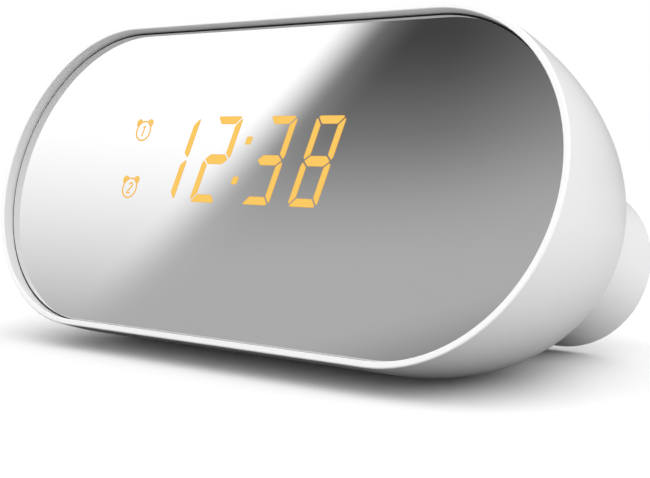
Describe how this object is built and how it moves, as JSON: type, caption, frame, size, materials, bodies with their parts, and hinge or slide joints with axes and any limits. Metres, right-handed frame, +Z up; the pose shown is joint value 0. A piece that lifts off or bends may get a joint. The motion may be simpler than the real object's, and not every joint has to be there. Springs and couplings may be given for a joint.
{
  "type": "clock radio",
  "caption": "Clock radio with a long rounded mirror front showing amber digits, a white bowl-shaped case leaning back and a smaller rear drum with speaker and battery door.",
  "frame": {"origin": "middle of the bounding box on the plane the feet stand on", "axes": "+X to the right seen from the front, along the longest side; the mirror faces -Y; +Z up"},
  "size_m": [0.178, 0.094, 0.0836],
  "materials": {
    "white_case": "satin white moulded ABS",
    "white_keys": "satin white moulded ABS, slightly greyer than the case",
    "half_mirror": "half-silvered clear acrylic, polished",
    "foam_rubber": "matte foam rubber",
    "black_plastic": "matte black moulded plastic",
    "amber_lit": "lit amber resin",
    "smoked_resin": "unlit smoked resin",
    "circuit_board": "solder-masked glass epoxy",
    "chip_resin": "matte moulded epoxy",
    "zinc_steel": "zinc-plated steel",
    "tinplate": "bright tinplate",
    "bare_aluminium": "satin aluminium",
    "cell_jacket": "printed jacket, left blank",
    "grey_rubber": "soft grey rubber",
    "ferrite": "dull sintered ferrite",
    "paper_cone": "pressed dark paper",
    "black_cloth": "fine woven cloth",
    "nylon_white": "natural nylon",
    "wire_insulation": "PVC insulation",
    "nickel_brass": "nickel-plated brass",
    "label_film": "blank silver label"
  },
  "bodies": {
    "housing": {"front_shell": "white_case", "rear_housing": "white_case", "mirror_window": "half_mirror", "window_gasket": "foam_rubber", "display_carrier": "black_plastic", "digit_module": "black_plastic", "chassis": "black_plastic", "battery_box": "black_plastic", "key_switches": "black_plastic", "dc_jack": "black_plastic", "speaker_surround": "black_plastic", "lit_segments": "amber_lit", "colon_dots": "amber_lit", "alarm_icons": "amber_lit", "unlit_segments": "smoked_resin", "display_board": "circuit_board", "main_board": "circuit_board", "key_board": "circuit_board", "display_chip": "chip_resin", "main_chip": "chip_resin", "amplifier_chip": "chip_resin", "carrier_screws": "zinc_steel", "display_board_screws": "zinc_steel", "chassis_screws": "zinc_steel", "main_board_screws": "zinc_steel", "key_board_screws": "zinc_steel", "case_screws": "zinc_steel", "speaker_frame": "zinc_steel", "tuner_can": "tinplate", "crystal": "tinplate", "battery_contacts": "tinplate", "heat_sink": "bare_aluminium", "capacitors": "bare_aluminium", "battery_cells": "cell_jacket", "front_feet": "grey_rubber", "rear_feet": "grey_rubber", "antenna_grommet": "grey_rubber", "speaker_magnet": "ferrite", "speaker_cone": "paper_cone", "speaker_dust_cap": "paper_cone", "grille_cloth": "black_cloth", "board_connectors": "nylon_white", "ribbon_cable": "nylon_white", "speaker_leads": "wire_insulation", "battery_leads": "wire_insulation", "dc_jack_pin": "nickel_brass", "rating_label": "label_film"},
    "snooze": {"snooze_bar": "white_keys"},
    "alarm_one": {"alarm_one_key": "white_keys"},
    "alarm_two": {"alarm_two_key": "white_keys"},
    "sleep": {"sleep_key": "white_keys"},
    "set": {"set_key": "white_keys"},
    "tune_down": {"tune_down_key": "white_keys"},
    "tune_up": {"tune_up_key": "white_keys"},
    "volume_down": {"volume_down_key": "white_keys"},
    "volume_up": {"volume_up_key": "white_keys"},
    "door": {"battery_door": "white_case"}
  },
  "joints": [
    {"name": "snooze_press", "type": "slide", "parent": "housing", "child": "snooze", "axis": [0, -0.5299, -0.848], "range_m": [0, 0.0012], "stiffness_N_per_m": 1500},
    {"name": "alarm_one_press", "type": "slide", "parent": "housing", "child": "alarm_one", "axis": [0, -0.5299, -0.848], "range_m": [0, 0.0008], "stiffness_N_per_m": 1500},
    {"name": "alarm_two_press", "type": "slide", "parent": "housing", "child": "alarm_two", "axis": [0, -0.5299, -0.848], "range_m": [0, 0.0008], "stiffness_N_per_m": 1500},
    {"name": "sleep_press", "type": "slide", "parent": "housing", "child": "sleep", "axis": [0, -0.5299, -0.848], "range_m": [0, 0.0008], "stiffness_N_per_m": 1500},
    {"name": "set_press", "type": "slide", "parent": "housing", "child": "set", "axis": [0, -0.5299, -0.848], "range_m": [0, 0.0008], "stiffness_N_per_m": 1500},
    {"name": "tune_down_press", "type": "slide", "parent": "housing", "child": "tune_down", "axis": [0, -0.5299, -0.848], "range_m": [0, 0.0008], "stiffness_N_per_m": 1500},
    {"name": "tune_up_press", "type": "slide", "parent": "housing", "child": "tune_up", "axis": [0, -0.5299, -0.848], "range_m": [0, 0.0008], "stiffness_N_per_m": 1500},
    {"name": "volume_down_press", "type": "slide", "parent": "housing", "child": "volume_down", "axis": [0, -0.5299, -0.848], "range_m": [0, 0.0008], "stiffness_N_per_m": 1500},
    {"name": "volume_up_press", "type": "slide", "parent": "housing", "child": "volume_up", "axis": [0, -0.5299, -0.848], "range_m": [0, 0.0008], "stiffness_N_per_m": 1500},
    {"name": "door_slide", "type": "slide", "parent": "housing", "child": "door", "axis": [0, 0.309, 0.9511], "range_m": [0, 0.03]}
  ]
}
